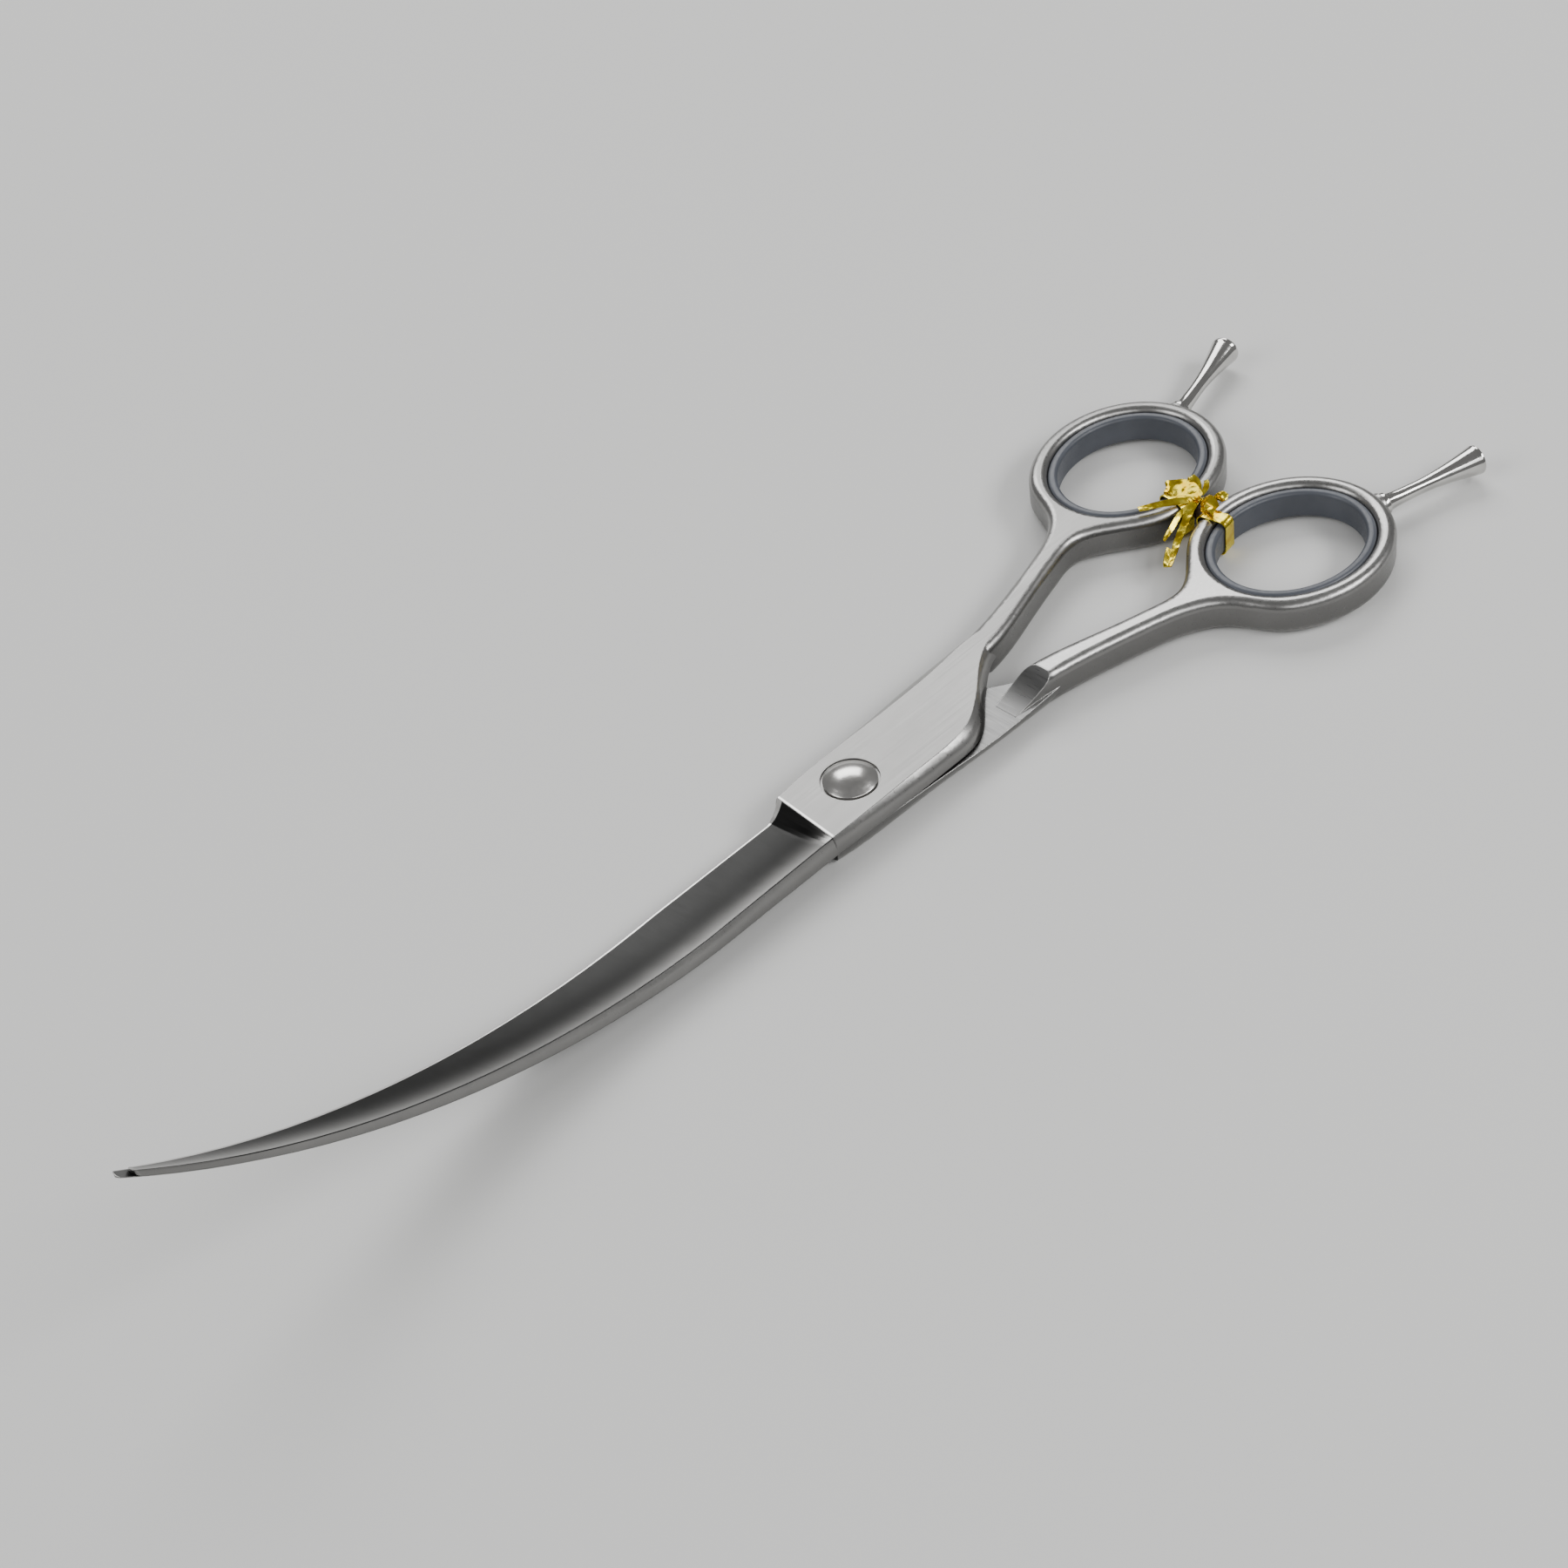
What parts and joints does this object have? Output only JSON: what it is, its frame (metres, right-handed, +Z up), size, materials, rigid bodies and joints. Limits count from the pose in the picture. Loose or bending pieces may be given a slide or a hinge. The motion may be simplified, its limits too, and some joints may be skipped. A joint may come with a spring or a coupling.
{
  "type": "curved hair cutting shears",
  "caption": "Curved hair cutting shears with opposed finger rings, soft ring inserts, screw-in finger rests and a domed pivot screw, lying closed.",
  "frame": {"origin": "on the pivot axis, in the plane that the pivot nut's flat end rests on", "axes": "+X towards the blade tips, +Z up (the tips curve up), -Y on the side of the finger ring that belongs to the upper half"},
  "size_m": [0.2242, 0.0582, 0.0317],
  "materials": {
    "blade_steel": "satin ground stainless steel, polished on its rounded edges",
    "screw_steel": "polished domed screw steel",
    "spring_steel": "spring steel, plain",
    "washer_nylon": "white nylon",
    "insert_rubber": "soft blue-grey rubber",
    "rest_chrome": "bright turned steel",
    "bumper_rubber": "dark brown rubber",
    "tie_foil": "bright gold foil, crumpled"
  },
  "bodies": {
    "lower_half": {"lower_half": "blade_steel", "lower_ring_insert": "insert_rubber", "lower_rest_collar": "rest_chrome", "pivot_screw": "screw_steel", "ride_washer": "washer_nylon", "tension_spring": "spring_steel", "lower_tie": "tie_foil"},
    "upper_half": {"upper_half": "blade_steel", "upper_ring_insert": "insert_rubber", "upper_rest_collar": "rest_chrome", "bumper": "bumper_rubber", "upper_tie": "tie_foil"},
    "tension_nut": {"tension_nut": "screw_steel"},
    "upper_rest": {"upper_finger_rest": "rest_chrome"},
    "lower_rest": {"lower_finger_rest": "rest_chrome"}
  },
  "joints": [
    {"name": "blade_pivot", "type": "hinge", "parent": "lower_half", "child": "upper_half", "pos_m": [0, 0, 0], "axis": [0, 0, 1], "range_deg": [0, 60]},
    {"name": "tension_nut_turn", "type": "hinge", "parent": "lower_half", "child": "tension_nut", "pos_m": [0, 0, 0], "axis": [0, 0, 1], "range_deg": [-90, 90]},
    {"name": "upper_rest_turn", "type": "hinge", "parent": "upper_half", "child": "upper_rest", "pos_m": [-0.09096, -0.01874, 0.00295], "axis": [-0.9652, -0.2615, 0], "range_deg": [0, 360]},
    {"name": "lower_rest_turn", "type": "hinge", "parent": "lower_half", "child": "lower_rest", "pos_m": [-0.09096, 0.01874, 0.00295], "axis": [-0.9652, 0.2615, 0], "range_deg": [0, 360]}
  ]
}
